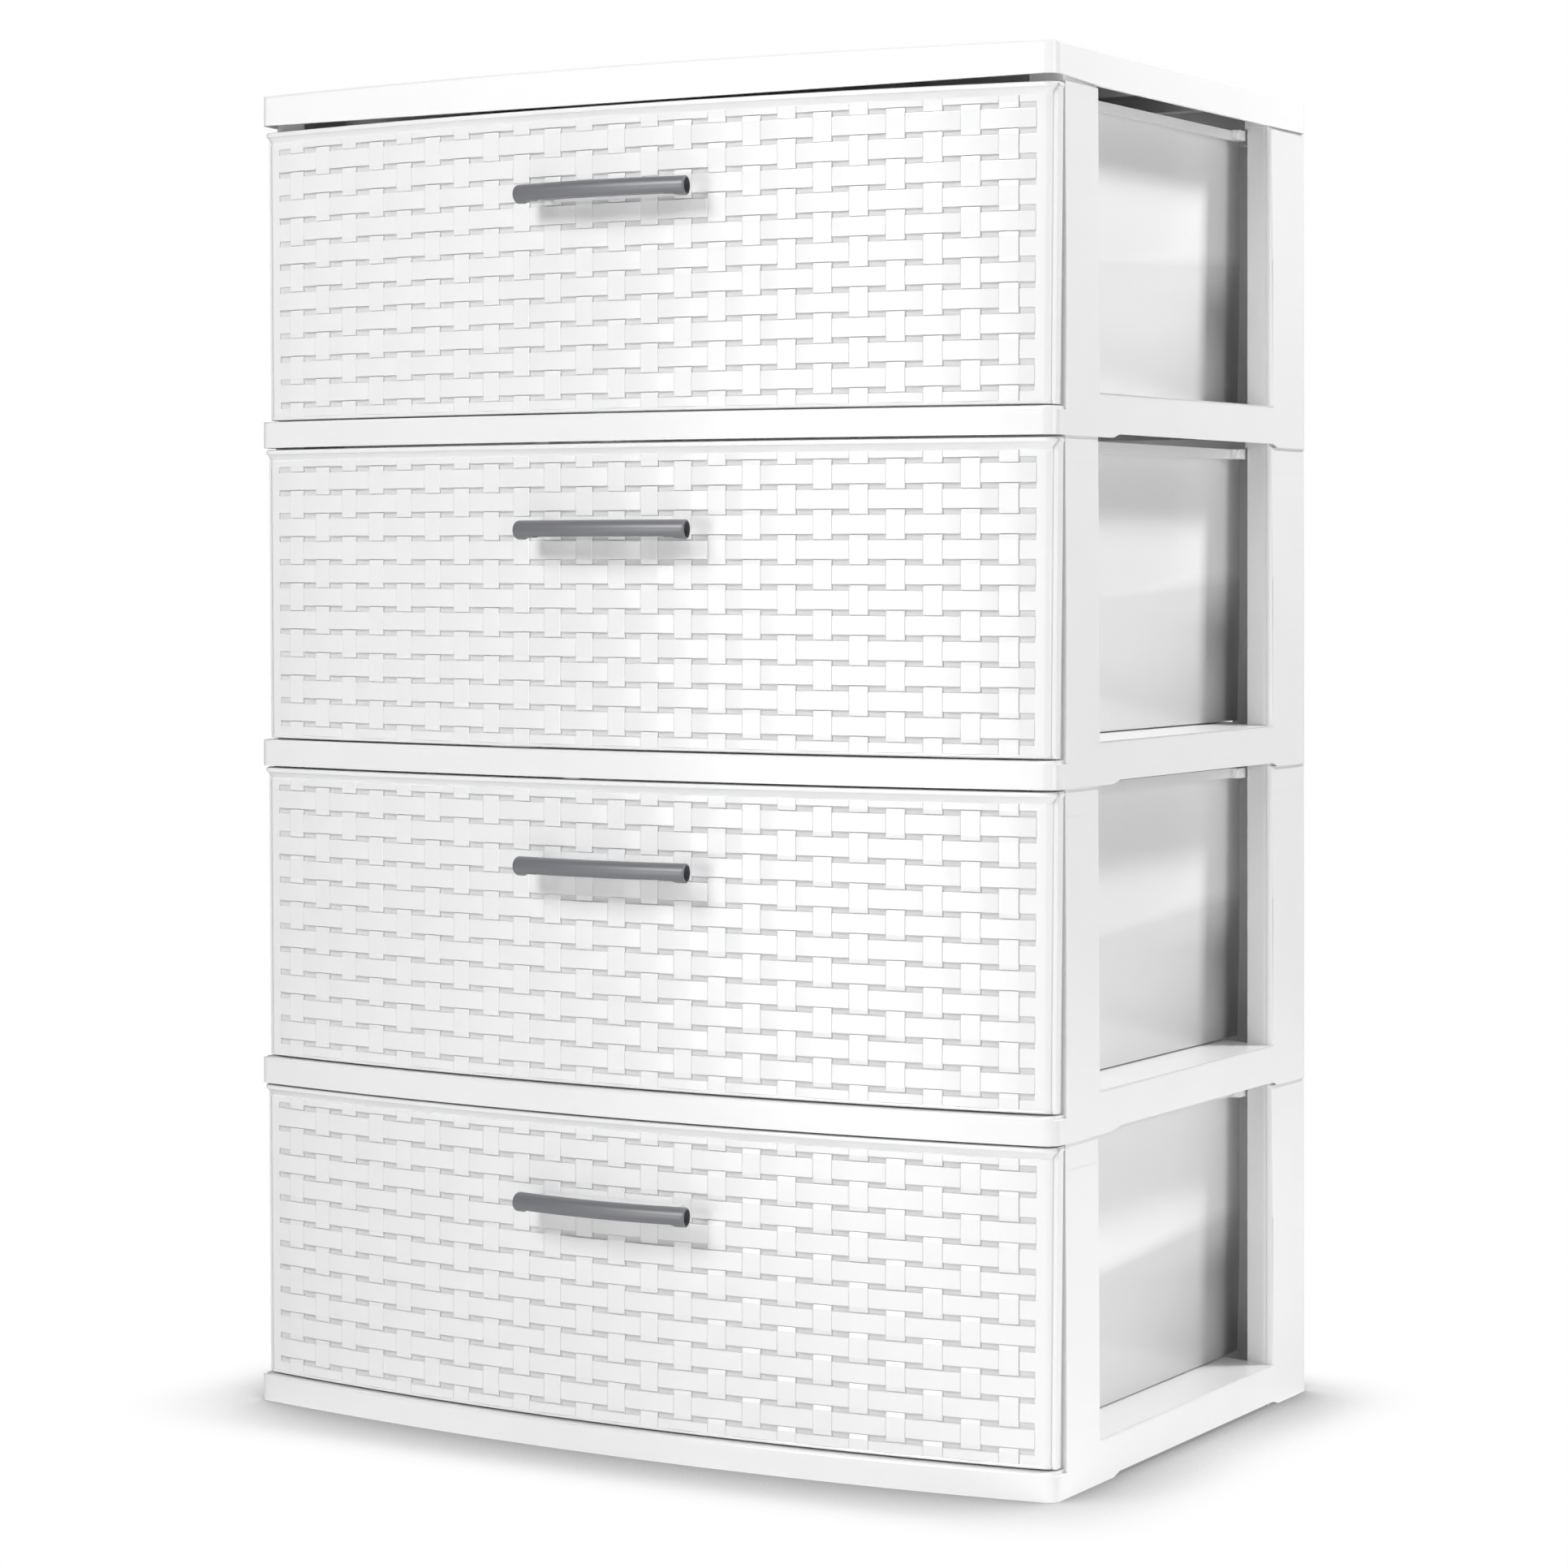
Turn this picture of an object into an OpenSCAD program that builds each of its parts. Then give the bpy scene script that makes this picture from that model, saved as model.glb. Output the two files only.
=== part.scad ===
// Four-drawer storage tower, moulded in plastic: stacked frame units, a snap-on
// cover, and drawers whose bowed fronts carry a basket-weave relief and a bar pull.
// Y = 0 in the modules is the line of the front corners; the front is towards -Y.

/* [Tower] */
// Width across the frame rails
tower_w = 556; // [520:1:620]
// Depth of a frame unit at its sides
frame_d = 357; // [340:1:400]
// How far the middle of a front rail stands forward of its corners
front_bow = 24; // [18:1:30]
// Height from one frame unit to the next
level_pitch = 198.6; // [190:0.1:230]
// Radius of the front corners, seen from above
corner_r = 9; // [6:0.5:11]
// Radius of the back corners, seen from above
back_corner_r = 6; // [4:0.5:10]
// Wall thickness of the frame units and the cover
frame_wall = 2.5; // [2:0.1:3]

/* [Frame rails] */
// Height of the front rail
front_rail_h = 16.2; // [14:0.1:18]
// Radius of the front rail's upper edge
rail_edge_r = 2; // [1:0.1:2.4]
// How far the front rail's top reaches back
front_shelf_d = 20; // [14:1:26]
// Height of the side rails at their outer faces
side_rail_h = 25; // [22:0.5:28]
// How much higher the ledge is where the drawer runs
ledge_rise = 1.5; // [0.5:0.1:3]
// Width of a side ledge, from the outer face inwards
ledge_w = 46; // [42:1:54]
// Width of the level strip that the drawer runs on
runner_strip_w = 16; // [14:1:20]
// Height of the flange that stiffens a ledge's inner edge
flange_h = 8; // [5:0.5:11]
// Height of the back rail's shelf
back_shelf_h = 14.7; // [12:0.1:18]
// How far the back rail's shelf reaches forward
back_shelf_d = 20; // [12:1:22]
// How much the side rails' lower edges are relieved between the feet
foot_relief = 2.2; // [1:0.1:3]
// Length of the front foot of a side rail
front_foot = 75; // [65:1:90]
// Length of the back foot of a side rail
back_foot = 46; // [20:1:120]

/* [Frame posts] */
// How far the front posts stand behind the front corners
post_set_back = 15; // [14:0.5:20]
// Depth of a front post along the side
front_post_d = 42; // [36:1:48]
// Width of a front post across the front
front_post_w = 22; // [20:0.5:24]
// Depth of a back post along the side
back_post_d = 57; // [52:1:64]
// Width of a back post's forward-facing wall
back_post_w = 16; // [14:0.5:17]
// Width of a back post's rear wall
back_post_rear_w = 50; // [30:1:60]
// Radius of the back post's edge at the side window
window_edge_r = 6; // [3:0.5:8]
// Wall thickness of a post at its foot
post_wall = 3.4; // [3:0.1:4]
// How much a post's outer face leans in, foot to top
post_draft = 1.2; // [0.5:0.1:1.4]
// Height of the spigot on top of each post
spigot_h = 11; // [8:0.5:12]
// Clearance between a spigot and its socket
spigot_clear = 0.3; // [0.2:0.05:0.6]

/* [Cover] */
// Height of the cover's skirt at its front corners
cover_skirt_h = 18.4; // [16:0.1:24]
// Gap between the post tops and the skirt at the front corners
cover_gap = 3.2; // [2.6:0.1:4]
// How far the skirt's lower edge drops in the middle of the front
cover_front_drop = 3.4; // [1:0.1:3.4]
// How far the skirt's lower edge drops along the sides and back
cover_side_drop = 2.2; // [0.5:0.1:2.4]
// Length over which the side of the skirt drops
cover_side_slope = 60; // [40:1:90]
// Thickness of the cover's top
cover_top_t = 3; // [2.4:0.1:4]
// Chamfer of the cover's top edge
cover_chamfer = 1.4; // [0.5:0.1:2.2]
// Height of the ribs under the cover
cover_rib_h = 9; // [5:0.5:11]
// Thickness of the ribs under the cover
rib_t = 1.8; // [1.5:0.1:2.5]

/* [Drawer front] */
// How far the front's side edges stand inside the rail ends
panel_side_gap = 4; // [3:0.5:6]
// How far the front's corners stand behind the rail corners
panel_set_back = 4.3; // [3.6:0.1:6]
// Bow of the drawer front
panel_bow = 23.5; // [20:0.5:27]
// Wall thickness of the drawer front
panel_wall = 2.8; // [2.4:0.1:3.4]
// Gap between the front's lower edge and the rail below
panel_bottom_gap = 1; // [0.6:0.1:2]
// Gap between the front's rim and the rail above
rim_gap = 1.2; // [0.8:0.1:2]
// Radius of the front's side edges, seen from above
panel_edge_r = 4.5; // [3.5:0.5:6]
// How far the side edges wrap back over the posts
panel_return = 9.6; // [7:0.2:10]
// How far the rim stands forward of the front's face
rim_proud = 2.6; // [1.5:0.1:3.2]
// Height of the rim's upright face
rim_face_h = 2.8; // [2:0.1:4]
// Height of the slope under the rim
rim_slope_h = 4; // [3:0.1:6]
// Length of the flange that the rim turns into at each side edge
side_flange_d = 7; // [4:0.1:8]
// How much narrower the front is at its foot, on each side
panel_taper = 1.6; // [0.5:0.1:2.4]

/* [Basket weave] */
// Distance between the upright stakes, along the bow
stake_pitch = 22.72; // [21:0.01:26]
// Width of a stake
stake_w = 11.6; // [9:0.1:13]
// Distance between the level bands
band_pitch = 14.38; // [13:0.01:17]
// Height of the gap between two bands
weave_gap_h = 3.5; // [2.5:0.1:4.5]
// Height of the lowest row of gaps above the front's lower edge
weave_start = 9.4; // [7:0.1:14]
// Plain margin kept between the weave and the side edges
weave_margin = 8.9; // [6:0.1:14]
// Depth of the gaps
weave_depth = 1; // [0.6:0.1:1.4]

/* [Drawer box] */
// Clearance between the box's rim and the front posts
rim_side_clear = 2; // [1.5:0.1:4]
// Width of the rim along the sides and back
box_rim_w = 7; // [5:0.5:9]
// Height of the lip that the rim turns down
box_lip_h = 6; // [4:0.5:10]
// Wall thickness of the box
box_wall = 2; // [1.6:0.1:3]
// Space between the box and the back of the frame
box_back_gap = 29; // [24:1:40]
// Radius of the box's upright back corners
box_back_r = 8; // [4:1:20]
// How much narrower the box is at its floor, on each side
box_side_draft = 2.2; // [0.5:0.1:3]
// How much shorter the box is at its floor
box_back_draft = 5; // [1:0.5:8]
// Height of the runners under the box
runner_h = 0.7; // [0.5:0.1:1.5]
// Width of a runner
runner_w = 5; // [3:0.5:8]
// Clearance between the runners and the ledges
runner_clear = 0.3; // [0.3:0.1:0.8]
// How far the stop ears catch behind the front posts
stop_catch = 4.2; // [3:0.1:4.6]
// Length of a stop ear
stop_len = 10; // [6:1:14]
// Distance from the box's back to the front of its stop ears
stop_inset = 36; // [30:1:60]

/* [Handle] */
// Length of the handle bar
handle_l = 117; // [100:1:150]
// Diameter of the handle bar
handle_dia = 11.5; // [9:0.1:14]
// Distance from the front's face to the bar's front, in the middle
handle_reach = 26.8; // [22:0.1:32]
// How much further the bar's middle stands out than its ends
handle_arch = 5.2; // [2:0.1:7]
// Height of the bar's centre above the front's lower edge
handle_height = 129; // [100:1:150]
// Length of the full-round foot at each end of the bar
handle_foot = 9; // [6:0.5:14]
// How much is cut from the underside between the feet
handle_flat = 1.7; // [0.8:0.1:2.5]
// Diameter of the hollow in each end of the bar
handle_bore = 8; // [5:0.1:8.4]
// Depth of that hollow
handle_bore_d = 5; // [2:0.5:7]
// Distance from the bar's ends to the bracket that carries it
bracket_inset = 12; // [11:0.5:18]
// Wall thickness of the bracket
bracket_wall = 1.8; // [1.4:0.1:2.4]
// Distance between the bar's two pegs
peg_span = 56; // [40:1:70]
// Diameter of a peg
peg_dia = 4; // [3:0.1:5]
// Clearance round a peg
peg_clear = 0.1; // [0.05:0.05:0.3]

/* [Hidden] */

levels = 4;
eps = 0.01;
big = 2000;
$fn = 64;
arc_fn = 1440;

white = [0.95, 0.95, 0.95];
grey = [0.46, 0.47, 0.48];

half_w = tower_w / 2;
bow_r = (half_w * half_w + front_bow * front_bow) / (2 * front_bow);
bow_y = bow_r - front_bow;

runner_strip_z = side_rail_h + ledge_rise;
post_back_y = post_set_back + front_post_d;
back_post_y = frame_d - back_post_d;
cap_t = frame_wall;
socket_w = frame_wall;
front_spigot = [
  front_post_w - post_draft - frame_wall - spigot_clear,
  front_post_d - 2 * (socket_w + spigot_clear)
];
back_spigot = [
  back_post_w - post_draft - frame_wall - spigot_clear,
  back_post_d - 2 * (socket_w + spigot_clear)
];

stack_top = levels * level_pitch;
cover_low = stack_top + cover_gap - cover_front_drop;
cover_high = stack_top + cover_gap + cover_skirt_h;

panel_half_w = half_w - panel_side_gap;
panel_r = (panel_half_w * panel_half_w + panel_bow * panel_bow) / (2 * panel_bow);
panel_bow_y = panel_set_back - panel_bow + panel_r;
panel_low = front_rail_h + panel_bottom_gap;
panel_high = level_pitch - rim_gap;
panel_front_y = panel_set_back - panel_bow;
rim_low = panel_high - rim_face_h - rim_slope_h;

box_rim_x = half_w - front_post_w - rim_side_clear;
box_half_w = box_rim_x - box_rim_w;
box_back_y = frame_d - box_back_gap;
stop_y = box_back_y - stop_inset;
box_low = runner_strip_z + runner_clear + runner_h;
box_floor = box_low + box_wall;

weave_half_w = panel_half_w - weave_margin;
stake_side = floor((weave_half_w - stake_w / 2) / stake_pitch);
row_count = floor((rim_low - weave_gap_h / 2 - panel_low - weave_start) / band_pitch) + 1;

handle_z = panel_low + handle_height;
handle_half = handle_l / 2;
handle_front_y = panel_front_y - handle_reach;
handle_axis_y = handle_front_y + handle_dia / 2;
handle_r = (handle_half * handle_half + handle_arch * handle_arch) / (2 * handle_arch);
handle_bow_y = handle_axis_y + handle_r;
bracket_half = handle_half - bracket_inset;
bracket_top = handle_z + handle_dia / 2 - 1;
bracket_low = handle_z - handle_dia / 2 + handle_flat;
bracket_face_r = handle_r - handle_dia / 4;
peg_l = bracket_wall + 3;

// middle of the whole object's depth, which becomes the origin
mid_y = (frame_d + handle_front_y) / 2;

// a 2-D corner outside a circle of radius r at c, between directions u and v
module corner_waste(c, u, v, r) {
  difference() {
    polygon([c, c + 2 * r * u, c + 2 * r * (u + v), c + 2 * r * v]);
    translate(c) circle(r = r);
  }
}

// plan with straight sides and back, and a front that is an arc about [0, arc_y]
module bowed_plan(hw, arc_r, arc_y, back, r_front, r_back) {
  front_c = [hw - r_front, arc_y - sqrt(pow(arc_r - r_front, 2) - pow(hw - r_front, 2))];
  front_u = (front_c - [0, arc_y]) / (arc_r - r_front);
  difference() {
    intersection() {
      translate([-hw, arc_y - arc_r - 1]) square([2 * hw, back - arc_y + arc_r + 1]);
      translate([0, arc_y]) circle(r = arc_r, $fn = arc_fn);
    }
    for (side = [0, 1]) mirror([side, 0]) {
      if (r_front > 0) corner_waste(front_c, [1, 0], front_u, r_front);
      if (r_back > 0) corner_waste([hw - r_back, back - r_back], [1, 0], [0, 1], r_back);
    }
  }
}

// the tower's outline, drawn in by inset
module tower_plan(inset = 0) {
  bowed_plan(half_w - inset, bow_r - inset, bow_y, frame_d - inset,
             corner_r - inset, back_corner_r - inset);
}

// a bar along Y whose section is drawn in X and Z
module along_y(y0, y1) {
  translate([0, y1, 0]) rotate([90, 0, 0]) linear_extrude(y1 - y0) children();
}

// a bar along X whose section is drawn in Y and Z
module along_x(x0, x1) {
  translate([x0, 0, 0]) rotate([90, 0, 90]) linear_extrude(x1 - x0) children();
}

module both_sides() {
  children();
  mirror([1, 0, 0]) children();
}

// ---- frame unit ----

// skirt all round: low across the front, higher along the sides and the back
module skirt() {
  difference() {
    linear_extrude(side_rail_h) difference() {
      tower_plan();
      tower_plan(frame_wall);
    }
    translate([-big / 2, -big / 2, front_rail_h - rail_edge_r]) cube([big, big / 2 + post_set_back, big]);
    // the side rails stand on two feet
    along_x(-big / 2, big / 2) polygon([
      [front_foot, -1], [front_foot, 0], [front_foot + 8, foot_relief],
      [frame_d - back_foot - 8, foot_relief], [frame_d - back_foot, 0], [frame_d - back_foot, -1]
    ]);
  }
}

// the front rail's rounded upper edge and its top
module front_shelf() {
  low = front_rail_h - rail_edge_r;
  intersection() {
    difference() {
      union() {
        translate([0, 0, low]) linear_extrude(rail_edge_r) tower_plan(rail_edge_r);
        translate([0, bow_y, 0]) rotate([0, 0, 180]) rotate_extrude(angle = 180, $fn = arc_fn)
          translate([bow_r - rail_edge_r, low]) intersection() {
            circle(r = rail_edge_r);
            square(rail_edge_r);
          }
        translate([0, 0, front_rail_h - frame_wall]) linear_extrude(frame_wall - rail_edge_r)
          tower_plan();
      }
      translate([0, 0, -1]) linear_extrude(big)
        bowed_plan(half_w - ledge_w, bow_r - front_shelf_d, bow_y, frame_d, 0, 0);
    }
    translate([-half_w, -front_bow, 0]) cube([tower_w, front_bow + post_set_back, big]);
    linear_extrude(big) tower_plan();
  }
}

// a side ledge: sloping top, level strip for the drawer, and a stiffening flange
module ledge() {
  strip_x = half_w - ledge_w + runner_strip_w;
  inner_x = half_w - ledge_w;
  along_y(post_set_back, back_post_y + post_wall) polygon([
    [half_w, side_rail_h - frame_wall], [half_w, side_rail_h], [strip_x, runner_strip_z],
    [inner_x, runner_strip_z], [inner_x, runner_strip_z - flange_h],
    [inner_x + frame_wall, runner_strip_z - flange_h],
    [inner_x + frame_wall, runner_strip_z - frame_wall], [strip_x, runner_strip_z - frame_wall]
  ]);
  // the step down from the ledge's front end to the front rail
  translate([inner_x, post_set_back, front_rail_h - frame_wall])
    cube([ledge_w, frame_wall, side_rail_h - front_rail_h + frame_wall]);
}

// the back rail's shelf, which runs forward under the back posts
module back_shelf() {
  translate([0, 0, back_shelf_h - frame_wall]) linear_extrude(frame_wall) difference() {
    intersection() {
      tower_plan();
      translate([-half_w, back_post_y]) square([tower_w, back_post_d]);
    }
    translate([-half_w + ledge_w, 0]) square([tower_w - 2 * ledge_w, frame_d - back_shelf_d]);
  }
  translate([-half_w + ledge_w, frame_d - back_shelf_d, back_shelf_h - flange_h])
    cube([tower_w - 2 * ledge_w, frame_wall, flange_h]);
  both_sides() translate([half_w - ledge_w, back_post_y, back_shelf_h - frame_wall])
    cube([ledge_w, frame_wall, runner_strip_z - back_shelf_h]);
}

// a four-sided socket for a spigot, as deep as the rail or skirt that it hangs in
module socket(x, y, size, low, high) {
  hole = size + [spigot_clear * 2, spigot_clear * 2];
  translate([x - spigot_clear, y - spigot_clear, low]) difference() {
    translate([-socket_w, -socket_w, 0]) cube([hole[0] + socket_w + eps, hole[1] + 2 * socket_w, high - low]);
    translate([0, 0, -1]) cube([hole[0] + 1, hole[1], big]);
  }
}

function front_spigot_at() = [
  half_w - frame_wall - spigot_clear - front_spigot[0], post_set_back + socket_w + spigot_clear
];
function back_spigot_at() = [
  half_w - frame_wall - spigot_clear - back_spigot[0], back_post_y + socket_w + spigot_clear
];

module sockets(low, high) {
  both_sides() {
    socket(front_spigot_at()[0], front_spigot_at()[1], front_spigot, low, high);
    socket(back_spigot_at()[0], back_spigot_at()[1], back_spigot, low, high);
  }
}

module spigot(at, size) {
  translate([0, 0, level_pitch - cap_t]) difference() {
    intersection() {
      translate([at[0], at[1], 0]) cube([size[0], size[1], spigot_h + cap_t]);
      linear_extrude(big) tower_plan(frame_wall + spigot_clear);
    }
    translate([at[0] + socket_w, at[1] + socket_w, cap_t])
      cube([size[0] - 2 * socket_w, size[1] - 2 * socket_w, big]);
  }
}

// a front post: a channel whose open side faces inwards, closed at the top
module front_post() {
  difference() {
    translate([half_w - front_post_w, post_set_back, front_rail_h])
      cube([front_post_w, front_post_d, level_pitch - front_rail_h]);
    translate([half_w - front_post_w - 1, post_set_back + post_wall, front_rail_h - 1]) cube([
      front_post_w - post_wall + 1, front_post_d - 2 * post_wall, level_pitch - front_rail_h + 1 - cap_t
    ]);
  }
  spigot(front_spigot_at(), front_spigot);
}

// a back post: outer wall, forward-facing wall with a rounded edge, and rear wall
module back_post() {
  low = back_shelf_h - frame_wall;
  x0 = half_w - back_post_w;
  difference() {
    translate([0, 0, low]) linear_extrude(level_pitch - low) difference() {
      intersection() {
        tower_plan();
        translate([half_w - back_post_rear_w, back_post_y]) square([back_post_rear_w, back_post_d]);
      }
      translate([half_w - back_post_rear_w - 1, back_post_y - 1])
        square([back_post_rear_w - back_post_w + 1, back_post_d - post_wall + 1]);
      corner_waste([half_w - window_edge_r, back_post_y + window_edge_r], [1, 0], [0, -1], window_edge_r);
    }
    translate([x0 - 1, back_post_y + post_wall, low - 1])
      cube([back_post_w - post_wall + 1, back_post_d - 2 * post_wall, level_pitch - low + 1 - cap_t]);
  }
  spigot(back_spigot_at(), back_spigot);
}

// everything outside the posts' leaning outer faces, above the rails
module draft_waste() {
  both_sides() along_y(0, frame_d + 1) polygon([
    [half_w, side_rail_h], [half_w - post_draft, level_pitch], [half_w - post_draft, level_pitch + 1],
    [half_w + 1, level_pitch + 1], [half_w + 1, side_rail_h]
  ]);
}

module frame_unit(level) {
  color(white) translate([0, -mid_y, level * level_pitch]) {
    difference() {
      union() {
        skirt();
        front_shelf();
        both_sides() {
          ledge();
          front_post();
          back_post();
        }
        back_shelf();
      }
      draft_waste();
    }
    intersection() {
      sockets(0, back_shelf_h - eps);
      linear_extrude(side_rail_h) tower_plan(frame_wall - eps);
    }
  }
}

// ---- cover ----

// what is cut from the skirt's lower edge: an arch across the front, a ramp on each side
module cover_edge_waste() {
  arch_points = 24;
  side_z = cover_low + cover_front_drop - cover_side_drop;
  along_y(-front_bow - 1, corner_r) polygon([
    for (i = [-arch_points : arch_points])
      [i / arch_points * half_w, cover_low + cover_front_drop * pow(i / arch_points, 2)],
    [half_w + 1, cover_low + cover_front_drop],
    [half_w + 1, cover_low - 1],
    [-half_w - 1, cover_low - 1],
    [-half_w - 1, cover_low + cover_front_drop]
  ]);
  along_x(-half_w - 1, half_w + 1) polygon([
    [corner_r - eps, cover_low - 1], [corner_r - eps, cover_low + cover_front_drop],
    [cover_side_slope, side_z], [frame_d + 1, side_z], [frame_d + 1, cover_low - 1]
  ]);
}

// a full-width section of the cover out to r on each side, its top edges chamfered
module cover_section(left, right) {
  edge_low = cover_high - cover_chamfer;
  polygon([
    [left, cover_low - 1], [right, cover_low - 1], [right, edge_low],
    [right - cover_chamfer, cover_high], [left + cover_chamfer, cover_high], [left, edge_low]
  ]);
}

// the cover before it is hollowed: bowed front, straight sides and back
module cover_block() {
  edge_low = cover_high - cover_chamfer;
  intersection() {
    translate([0, 0, cover_low]) linear_extrude(cover_high - cover_low) tower_plan();
    union() {
      translate([0, bow_y, 0]) cylinder(r = bow_r + 1, h = edge_low, $fn = arc_fn);
      translate([0, bow_y, edge_low])
        cylinder(r1 = bow_r, r2 = bow_r - cover_chamfer, h = cover_chamfer, $fn = arc_fn);
    }
    along_y(-front_bow - 1, frame_d + 1) cover_section(-half_w, half_w);
    along_x(-half_w - 1, half_w + 1) cover_section(-big, frame_d);
  }
}

module cover_ribs(top) {
  for (x = [-half_w / 2, 0, half_w / 2]) translate([x - rib_t / 2, -front_bow, top - cover_rib_h])
    cube([rib_t, frame_d + front_bow, cover_rib_h + eps]);
  for (y = [frame_d / 4, frame_d / 2, 3 * frame_d / 4])
    translate([-half_w, y - rib_t / 2, top - cover_rib_h]) cube([tower_w, rib_t, cover_rib_h + eps]);
}

module top_cover() {
  hollow_top = cover_high - cover_top_t;
  color(white) translate([0, -mid_y, 0]) {
    difference() {
      cover_block();
      translate([0, 0, cover_low - 1]) linear_extrude(hollow_top - cover_low + 1) tower_plan(frame_wall);
      cover_edge_waste();
    }
    intersection() {
      union() {
        sockets(stack_top, hollow_top + eps);
        cover_ribs(hollow_top);
      }
      linear_extrude(big) tower_plan(frame_wall - eps);
    }
  }
}

// ---- drawer ----

module panel_plan(inset = 0, back = panel_set_back + panel_return) {
  bowed_plan(panel_half_w - inset, panel_r - inset, panel_bow_y, back, panel_edge_r - inset, 0);
}

// how far across the front a length along its bow reaches
function across(length) = panel_r * sin(length / panel_r * 180 / PI);

// the gaps between bands and stakes, drawn in X and Z
module weave_gaps() {
  for (row = [0 : row_count - 1], gap = [-stake_side - 1 : stake_side]) {
    left = across(gap * stake_pitch + stake_w / 2);
    right = across((gap + 1) * stake_pitch - stake_w / 2);
    translate([max(left, -weave_half_w), panel_low + weave_start + row * band_pitch - weave_gap_h / 2])
      square([min(right, weave_half_w) - max(left, -weave_half_w), weave_gap_h]);
  }
}

// the bowed front: wall wrapped back at its sides, rim, beads and weave
module drawer_front() {
  difference() {
    union() {
      translate([0, 0, panel_low]) linear_extrude(panel_high - panel_low) difference() {
        panel_plan();
        panel_plan(panel_wall, frame_d);
      }
      translate([0, 0, panel_high - rim_face_h]) linear_extrude(rim_face_h) difference() {
        panel_plan(-rim_proud);
        panel_plan(panel_wall, frame_d);
      }
      intersection() {
        translate([0, panel_bow_y, 0]) rotate([0, 0, 180]) rotate_extrude(angle = 180, $fn = arc_fn) polygon([
          [panel_r - 1, rim_low], [panel_r, rim_low], [panel_r + rim_proud, rim_low + rim_slope_h],
          [panel_r - 1, rim_low + rim_slope_h]
        ]);
        linear_extrude(big) panel_plan(-rim_proud);
      }
      both_sides()
        translate([panel_half_w - panel_wall, panel_set_back + panel_return - side_flange_d, panel_low])
          cube([panel_wall + rim_proud, side_flange_d, panel_high - panel_low]);
    }
    intersection() {
      along_y(-front_bow - big / 4, post_set_back) weave_gaps();
      translate([0, 0, panel_low - 1]) linear_extrude(big) difference() {
        panel_plan(-1);
        panel_plan(weave_depth, frame_d);
      }
    }
    // the front narrows towards its foot
    both_sides() along_y(-front_bow - 1, frame_d) polygon([
      [panel_half_w + rim_proud - panel_taper, panel_low - 1], [panel_half_w + rim_proud, panel_high + 1],
      [panel_half_w + rim_proud + 1, panel_high + 1], [panel_half_w + rim_proud + 1, panel_low - 1]
    ]);
  }
}

module box_plan(grow = 0) {
  bowed_plan(box_half_w + grow, panel_r - panel_wall / 2, panel_bow_y, box_back_y + grow, 0, box_back_r + grow);
}

// the box's inside or outside, drawn out by grow, from a height upwards: its sides and back lean out
module box_block(low, grow = 0) {
  draft_top = panel_high - box_lip_h;
  intersection() {
    translate([0, 0, low]) linear_extrude(panel_high - low + max(0, -grow)) box_plan(grow);
    along_y(-front_bow - 1, frame_d) polygon([
      [box_side_draft - box_half_w - grow, box_low], [box_half_w + grow - box_side_draft, box_low],
      [box_half_w + grow, draft_top], [box_half_w + grow, panel_high + 1],
      [-box_half_w - grow, panel_high + 1], [-box_half_w - grow, draft_top]
    ]);
    along_x(-half_w, half_w) polygon([
      [-big / 4, box_low], [box_back_y + grow - box_back_draft, box_low], [box_back_y + grow, draft_top],
      [box_back_y + grow, panel_high + 1], [-big / 4, panel_high + 1]
    ]);
  }
}

// the open box behind the front, with its rim, runners and stop ears
module drawer_box() {
  difference() {
    union() {
      box_block(box_low);
      translate([0, 0, panel_high - box_lip_h]) linear_extrude(box_lip_h) difference() {
        box_plan(box_rim_w);
        box_plan(box_rim_w - box_wall);
      }
      translate([0, 0, panel_high - box_wall]) linear_extrude(box_wall) box_plan(box_rim_w);
      both_sides() {
        translate([box_rim_x - 1, stop_y, panel_high - box_lip_h])
          cube([rim_side_clear + stop_catch + 1, stop_len, box_lip_h]);
        translate([half_w - ledge_w + (runner_strip_w - runner_w) / 2, post_set_back, box_low - runner_h])
          cube([runner_w, stop_y + stop_len - post_set_back, runner_h + eps]);
      }
    }
    box_block(box_floor, -box_wall);
    translate([-half_w, -big / 2 + post_set_back, panel_high - box_lip_h - 1])
      difference() {
        cube([tower_w, big / 2, big]);
        translate([half_w - box_half_w, 0, -1]) cube([2 * box_half_w, big, big]);
      }
  }
}

// the pull's bracket: a shelf and three walls, open below for the fingers
module bracket() {
  difference() {
    intersection() {
      translate([-bracket_half, handle_axis_y, bracket_low])
        cube([2 * bracket_half, panel_front_y + panel_bow - handle_axis_y, bracket_top - bracket_low]);
      translate([0, handle_bow_y, 0]) cylinder(r = bracket_face_r, h = big, $fn = arc_fn);
    }
    // the finger space
    intersection() {
      translate([-bracket_half + bracket_wall, handle_axis_y, bracket_low - 1])
        cube([2 * (bracket_half - bracket_wall), big, bracket_top - bracket_low + 1 - bracket_wall]);
      translate([0, handle_bow_y, 0]) cylinder(r = bracket_face_r - bracket_wall, h = big, $fn = arc_fn);
    }
    // all that would stand inside the drawer
    translate([0, panel_bow_y, 0]) cylinder(r = panel_r - panel_wall / 2, h = big, $fn = arc_fn);
    both_sides() translate([peg_span / 2, handle_axis_y - handle_dia, handle_z]) rotate([-90, 0, 0])
      cylinder(d = peg_dia + 2 * peg_clear, h = handle_dia + bracket_wall + 6);
  }
}

module drawer(level) {
  color(white) translate([0, -mid_y, level * level_pitch]) {
    drawer_front();
    drawer_box();
    bracket();
  }
}

// ---- handle ----

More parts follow.
